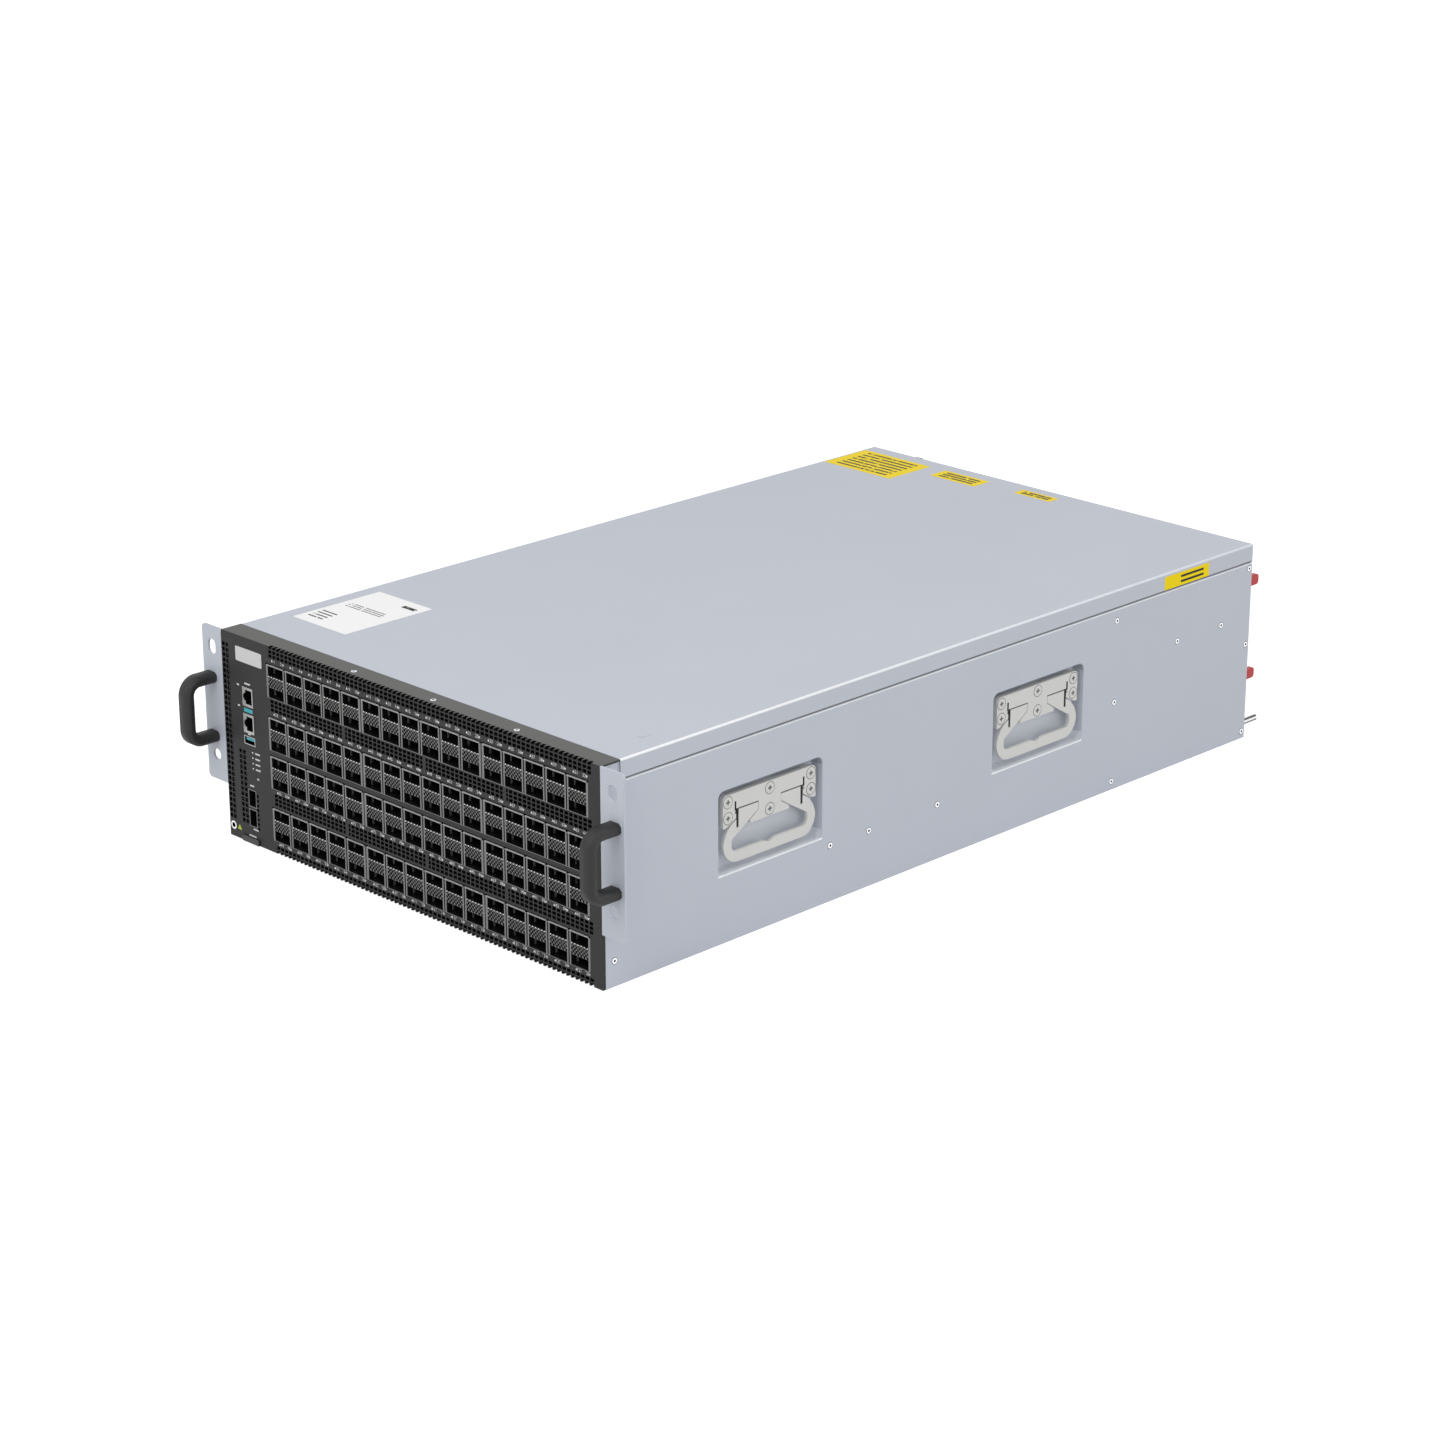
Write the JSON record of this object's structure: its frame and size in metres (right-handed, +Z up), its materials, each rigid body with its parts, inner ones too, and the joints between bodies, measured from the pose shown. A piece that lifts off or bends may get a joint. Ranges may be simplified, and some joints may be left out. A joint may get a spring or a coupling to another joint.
{
  "type": "ethernet switch",
  "caption": "Rack-mount ethernet switch in a four-unit sheet metal chassis, with stacked transceiver ports in a perforated front, rack ears, folding side handles and hot-swap rear modules.",
  "frame": {"origin": "middle of the chassis underside", "axes": "+X to the right and +Y rearwards for someone facing the ports, +Z up"},
  "size_m": [0.489, 0.8325, 0.175],
  "materials": {
    "chassis_paint": "light blue-grey powder coat",
    "bezel_paint": "dark grey powder coat",
    "grip_coat": "matte dark grey coat",
    "cage_nickel": "nickel-plated sheet",
    "spacer_nickel": "bright nickel, perforated",
    "connector_black": "black moulding",
    "jack_shield": "bright tin plate",
    "usb_shell": "bright shell, blue tongue",
    "stud_steel": "polished",
    "bracket_zinc": "warm light grey casting",
    "bail_zinc": "warm light grey plate",
    "board_green": "solder mask",
    "chip_lid": "plated lid",
    "sink_aluminium": "extruded fins",
    "frame_zinc": "zinc plate",
    "module_zinc": "zinc plate",
    "rotor_black": "black moulding",
    "latch_red": "red moulding",
    "latch_black": "black moulding",
    "tag_grey": "dark grey moulding"
  },
  "bodies": {
    "chassis": {"base_tray": "chassis_paint", "top_cover": "chassis_paint", "front_bezel": "bezel_paint", "left_ear": "chassis_paint", "right_ear": "chassis_paint", "left_ear_handle": "grip_coat", "right_ear_handle": "grip_coat", "port_cage_plates": "cage_nickel", "port_cage_dividers": "cage_nickel", "port_spacers": "spacer_nickel", "port_connectors": "connector_black", "shielding_lips": "cage_nickel", "management_jacks": "jack_shield", "usb_port": "usb_shell", "sfp_cages": "cage_nickel", "esd_jack": "stud_steel", "handle_brackets": "bracket_zinc", "circuit_boards": "board_green", "switch_chip": "chip_lid", "heat_sink": "sink_aluminium", "rear_frame": "frame_zinc", "fan_board": "board_green", "ground_stud": "stud_steel"},
    "asset_tag": {"asset_tag": "tag_grey"},
    "carry_handle_front_left": {"carry_handle_front_left": "bail_zinc"},
    "carry_handle_front_right": {"carry_handle_front_right": "bail_zinc"},
    "carry_handle_rear_left": {"carry_handle_rear_left": "bail_zinc"},
    "carry_handle_rear_right": {"carry_handle_rear_right": "bail_zinc"},
    "fan_module_1": {"fan_module_1": "module_zinc"},
    "fan_rotor_1": {"fan_rotor_1": "rotor_black"},
    "fan_latch_1": {"fan_latch_1": "latch_red"},
    "fan_module_2": {"fan_module_2": "module_zinc"},
    "fan_rotor_2": {"fan_rotor_2": "rotor_black"},
    "fan_latch_2": {"fan_latch_2": "latch_red"},
    "fan_module_3": {"fan_module_3": "module_zinc"},
    "fan_rotor_3": {"fan_rotor_3": "rotor_black"},
    "fan_latch_3": {"fan_latch_3": "latch_red"},
    "fan_module_4": {"fan_module_4": "module_zinc"},
    "fan_rotor_4": {"fan_rotor_4": "rotor_black"},
    "fan_latch_4": {"fan_latch_4": "latch_red"},
    "fan_module_5": {"fan_module_5": "module_zinc"},
    "fan_rotor_5": {"fan_rotor_5": "rotor_black"},
    "fan_latch_5": {"fan_latch_5": "latch_red"},
    "fan_module_6": {"fan_module_6": "module_zinc"},
    "fan_rotor_6": {"fan_rotor_6": "rotor_black"},
    "fan_latch_6": {"fan_latch_6": "latch_red"},
    "fan_module_7": {"fan_module_7": "module_zinc"},
    "fan_rotor_7": {"fan_rotor_7": "rotor_black"},
    "fan_latch_7": {"fan_latch_7": "latch_red"},
    "fan_module_8": {"fan_module_8": "module_zinc"},
    "fan_rotor_8": {"fan_rotor_8": "rotor_black"},
    "fan_latch_8": {"fan_latch_8": "latch_red"},
    "power_supply_1": {"power_supply_1": "module_zinc"},
    "supply_latch_1": {"supply_latch_1": "latch_black"},
    "power_supply_2": {"power_supply_2": "module_zinc"},
    "supply_latch_2": {"supply_latch_2": "latch_black"},
    "power_supply_3": {"power_supply_3": "module_zinc"},
    "supply_latch_3": {"supply_latch_3": "latch_black"},
    "power_supply_4": {"power_supply_4": "module_zinc"},
    "supply_latch_4": {"supply_latch_4": "latch_black"}
  },
  "joints": [
    {"name": "asset_tag_slide", "type": "slide", "parent": "chassis", "child": "asset_tag", "axis": [0, -1, 0], "range_m": [0, 0.05]},
    {"name": "carry_handle_front_left_hinge", "type": "hinge", "parent": "chassis", "child": "carry_handle_front_left", "pos_m": [-0.2172, -0.2063, 0.1023], "axis": [0, 1, 0], "range_deg": [0, 90]},
    {"name": "carry_handle_front_right_hinge", "type": "hinge", "parent": "chassis", "child": "carry_handle_front_right", "pos_m": [0.2172, -0.2063, 0.1023], "axis": [0, -1, 0], "range_deg": [0, 90]},
    {"name": "carry_handle_rear_left_hinge", "type": "hinge", "parent": "chassis", "child": "carry_handle_rear_left", "pos_m": [-0.2172, 0.103, 0.1023], "axis": [0, 1, 0], "range_deg": [0, 90]},
    {"name": "carry_handle_rear_right_hinge", "type": "hinge", "parent": "chassis", "child": "carry_handle_rear_right", "pos_m": [0.2172, 0.103, 0.1023], "axis": [0, -1, 0], "range_deg": [0, 90]},
    {"name": "fan_module_1_slide", "type": "slide", "parent": "chassis", "child": "fan_module_1", "axis": [0, 1, 0], "range_m": [0, 0.1]},
    {"name": "fan_rotor_1_spin", "type": "hinge", "parent": "fan_module_1", "child": "fan_rotor_1", "pos_m": [-0.09755, 0.361, 0.1302], "axis": [0, 1, 0], "continuous": true},
    {"name": "fan_latch_1_press", "type": "hinge", "parent": "fan_module_1", "child": "fan_latch_1", "pos_m": [-0.06115, 0.3844, 0.132], "axis": [0, 0, 1], "range_deg": [0, 12], "stiffness_Nm_per_rad": 0.2},
    {"name": "fan_module_2_slide", "type": "slide", "parent": "chassis", "child": "fan_module_2", "axis": [0, 1, 0], "range_m": [0, 0.1]},
    {"name": "fan_rotor_2_spin", "type": "hinge", "parent": "fan_module_2", "child": "fan_rotor_2", "pos_m": [-0.01085, 0.361, 0.1302], "axis": [0, 1, 0], "continuous": true},
    {"name": "fan_latch_2_press", "type": "hinge", "parent": "fan_module_2", "child": "fan_latch_2", "pos_m": [0.02555, 0.3844, 0.132], "axis": [0, 0, 1], "range_deg": [0, 12], "stiffness_Nm_per_rad": 0.2},
    {"name": "fan_module_3_slide", "type": "slide", "parent": "chassis", "child": "fan_module_3", "axis": [0, 1, 0], "range_m": [0, 0.1]},
    {"name": "fan_rotor_3_spin", "type": "hinge", "parent": "fan_module_3", "child": "fan_rotor_3", "pos_m": [0.07585, 0.361, 0.1302], "axis": [0, 1, 0], "continuous": true},
    {"name": "fan_latch_3_press", "type": "hinge", "parent": "fan_module_3", "child": "fan_latch_3", "pos_m": [0.11225, 0.3844, 0.132], "axis": [0, 0, 1], "range_deg": [0, 12], "stiffness_Nm_per_rad": 0.2},
    {"name": "fan_module_4_slide", "type": "slide", "parent": "chassis", "child": "fan_module_4", "axis": [0, 1, 0], "range_m": [0, 0.1]},
    {"name": "fan_rotor_4_spin", "type": "hinge", "parent": "fan_module_4", "child": "fan_rotor_4", "pos_m": [0.16255, 0.361, 0.1302], "axis": [0, 1, 0], "continuous": true},
    {"name": "fan_latch_4_press", "type": "hinge", "parent": "fan_module_4", "child": "fan_latch_4", "pos_m": [0.19895, 0.3844, 0.132], "axis": [0, 0, 1], "range_deg": [0, 12], "stiffness_Nm_per_rad": 0.2},
    {"name": "fan_module_5_slide", "type": "slide", "parent": "chassis", "child": "fan_module_5", "axis": [0, 1, 0], "range_m": [0, 0.1]},
    {"name": "fan_rotor_5_spin", "type": "hinge", "parent": "fan_module_5", "child": "fan_rotor_5", "pos_m": [-0.09755, 0.361, 0.0448], "axis": [0, 1, 0], "continuous": true},
    {"name": "fan_latch_5_press", "type": "hinge", "parent": "fan_module_5", "child": "fan_latch_5", "pos_m": [-0.06115, 0.3844, 0.0466], "axis": [0, 0, 1], "range_deg": [0, 12], "stiffness_Nm_per_rad": 0.2},
    {"name": "fan_module_6_slide", "type": "slide", "parent": "chassis", "child": "fan_module_6", "axis": [0, 1, 0], "range_m": [0, 0.1]},
    {"name": "fan_rotor_6_spin", "type": "hinge", "parent": "fan_module_6", "child": "fan_rotor_6", "pos_m": [-0.01085, 0.361, 0.0448], "axis": [0, 1, 0], "continuous": true},
    {"name": "fan_latch_6_press", "type": "hinge", "parent": "fan_module_6", "child": "fan_latch_6", "pos_m": [0.02555, 0.3844, 0.0466], "axis": [0, 0, 1], "range_deg": [0, 12], "stiffness_Nm_per_rad": 0.2},
    {"name": "fan_module_7_slide", "type": "slide", "parent": "chassis", "child": "fan_module_7", "axis": [0, 1, 0], "range_m": [0, 0.1]},
    {"name": "fan_rotor_7_spin", "type": "hinge", "parent": "fan_module_7", "child": "fan_rotor_7", "pos_m": [0.07585, 0.361, 0.0448], "axis": [0, 1, 0], "continuous": true},
    {"name": "fan_latch_7_press", "type": "hinge", "parent": "fan_module_7", "child": "fan_latch_7", "pos_m": [0.11225, 0.3844, 0.0466], "axis": [0, 0, 1], "range_deg": [0, 12], "stiffness_Nm_per_rad": 0.2},
    {"name": "fan_module_8_slide", "type": "slide", "parent": "chassis", "child": "fan_module_8", "axis": [0, 1, 0], "range_m": [0, 0.1]},
    {"name": "fan_rotor_8_spin", "type": "hinge", "parent": "fan_module_8", "child": "fan_rotor_8", "pos_m": [0.16255, 0.361, 0.0448], "axis": [0, 1, 0], "continuous": true},
    {"name": "fan_latch_8_press", "type": "hinge", "parent": "fan_module_8", "child": "fan_latch_8", "pos_m": [0.19895, 0.3844, 0.0466], "axis": [0, 0, 1], "range_deg": [0, 12], "stiffness_Nm_per_rad": 0.2},
    {"name": "power_supply_1_slide", "type": "slide", "parent": "chassis", "child": "power_supply_1", "axis": [0, 1, 0], "range_m": [0, 0.2]},
    {"name": "supply_latch_1_press", "type": "hinge", "parent": "power_supply_1", "child": "supply_latch_1", "pos_m": [-0.20865, 0.3844, 0.15155], "axis": [0, 0, -1], "range_deg": [0, 12], "stiffness_Nm_per_rad": 0.2},
    {"name": "power_supply_2_slide", "type": "slide", "parent": "chassis", "child": "power_supply_2", "axis": [0, 1, 0], "range_m": [0, 0.2]},
    {"name": "supply_latch_2_press", "type": "hinge", "parent": "power_supply_2", "child": "supply_latch_2", "pos_m": [-0.20865, 0.3844, 0.10885], "axis": [0, 0, -1], "range_deg": [0, 12], "stiffness_Nm_per_rad": 0.2},
    {"name": "power_supply_3_slide", "type": "slide", "parent": "chassis", "child": "power_supply_3", "axis": [0, 1, 0], "range_m": [0, 0.2]},
    {"name": "supply_latch_3_press", "type": "hinge", "parent": "power_supply_3", "child": "supply_latch_3", "pos_m": [-0.20865, 0.3844, 0.06615], "axis": [0, 0, -1], "range_deg": [0, 12], "stiffness_Nm_per_rad": 0.2},
    {"name": "power_supply_4_slide", "type": "slide", "parent": "chassis", "child": "power_supply_4", "axis": [0, 1, 0], "range_m": [0, 0.2]},
    {"name": "supply_latch_4_press", "type": "hinge", "parent": "power_supply_4", "child": "supply_latch_4", "pos_m": [-0.20865, 0.3844, 0.02345], "axis": [0, 0, -1], "range_deg": [0, 12], "stiffness_Nm_per_rad": 0.2}
  ]
}
